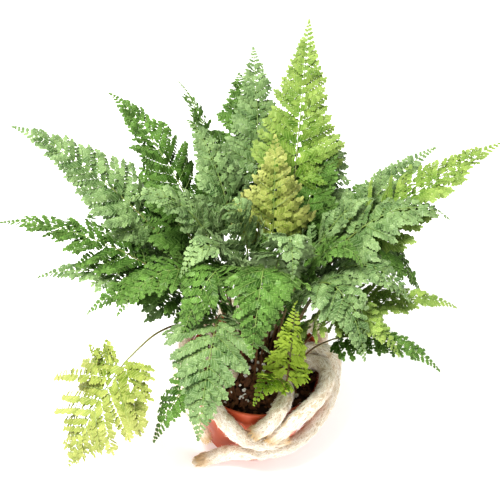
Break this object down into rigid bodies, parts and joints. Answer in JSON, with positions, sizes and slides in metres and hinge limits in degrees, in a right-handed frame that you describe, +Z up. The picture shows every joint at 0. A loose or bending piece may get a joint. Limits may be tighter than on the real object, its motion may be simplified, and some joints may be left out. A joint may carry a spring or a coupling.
{
  "type": "potted fern",
  "caption": "Bushy fern with finely divided triangular fronds and furry creeping rhizomes that spill over the rim of a small tapered plastic pot.",
  "frame": {"origin": "centre of the pot's flat foot, on the surface it stands on", "axes": "+Z up along the pot's axis; -Y is the side where the rhizomes wrap the pot and the mix shows"},
  "size_m": [0.3652, 0.3129, 0.311],
  "materials": {
    "pot_plastic": "moulded terracotta-orange plastic, satin",
    "potting_mix": "dark crumbly peat and bark mix",
    "rhizome_scales": "cream-white furry scales",
    "frond_deep": "mature leaf, deep green, satin",
    "frond_sage": "mature leaf, pale sage green, satin",
    "frond_bright": "younger leaf, bright green, satin",
    "frond_gold": "ageing leaf, olive yellow, satin",
    "frond_lime": "new leaf, yellow-green, satin"
  },
  "bodies": {
    "root": {"frond_01_lime": "frond_lime", "frond_02_lime": "frond_lime", "frond_03_bright": "frond_bright", "frond_04_sage": "frond_sage", "frond_05_deep": "frond_deep", "frond_06_sage": "frond_sage", "frond_07_bright": "frond_bright", "frond_08_sage": "frond_sage", "frond_09_deep": "frond_deep", "frond_10_deep": "frond_deep", "frond_11_deep": "frond_deep", "frond_12_bright": "frond_bright", "frond_13_sage": "frond_sage", "frond_14_deep": "frond_deep", "frond_15_deep": "frond_deep", "frond_16_deep": "frond_deep", "frond_17_sage": "frond_sage", "frond_18_gold": "frond_gold", "frond_19_sage": "frond_sage", "frond_20_deep": "frond_deep", "frond_21_sage": "frond_sage", "frond_22_sage": "frond_sage", "frond_23_deep": "frond_deep", "frond_24_gold": "frond_gold", "frond_25_deep": "frond_deep", "frond_26_bright": "frond_bright", "frond_27_deep": "frond_deep", "frond_28_sage": "frond_sage", "frond_29_deep": "frond_deep", "frond_30_sage": "frond_sage", "frond_31_sage": "frond_sage", "frond_32_sage": "frond_sage", "frond_33_sage": "frond_sage", "frond_34_deep": "frond_deep", "frond_35_sage": "frond_sage", "frond_36_deep": "frond_deep", "frond_37_deep": "frond_deep", "frond_38_sage": "frond_sage", "frond_39_deep": "frond_deep", "frond_40_deep": "frond_deep", "frond_41_deep": "frond_deep", "frond_42_sage": "frond_sage", "frond_43_deep": "frond_deep", "frond_44_deep": "frond_deep", "frond_45_deep": "frond_deep", "frond_46_sage": "frond_sage", "frond_47_deep": "frond_deep", "frond_48_sage": "frond_sage", "frond_49_deep": "frond_deep", "pot": "pot_plastic", "potting_mix": "potting_mix", "rhizome_back": "rhizome_scales", "rhizome_back_left": "rhizome_scales", "rhizome_back_right": "rhizome_scales", "rhizome_far_left": "rhizome_scales", "rhizome_front_left": "rhizome_scales", "rhizome_front_low": "rhizome_scales", "rhizome_front_right": "rhizome_scales", "rhizome_left": "rhizome_scales", "rhizome_right": "rhizome_scales"}
  },
  "joints": []
}
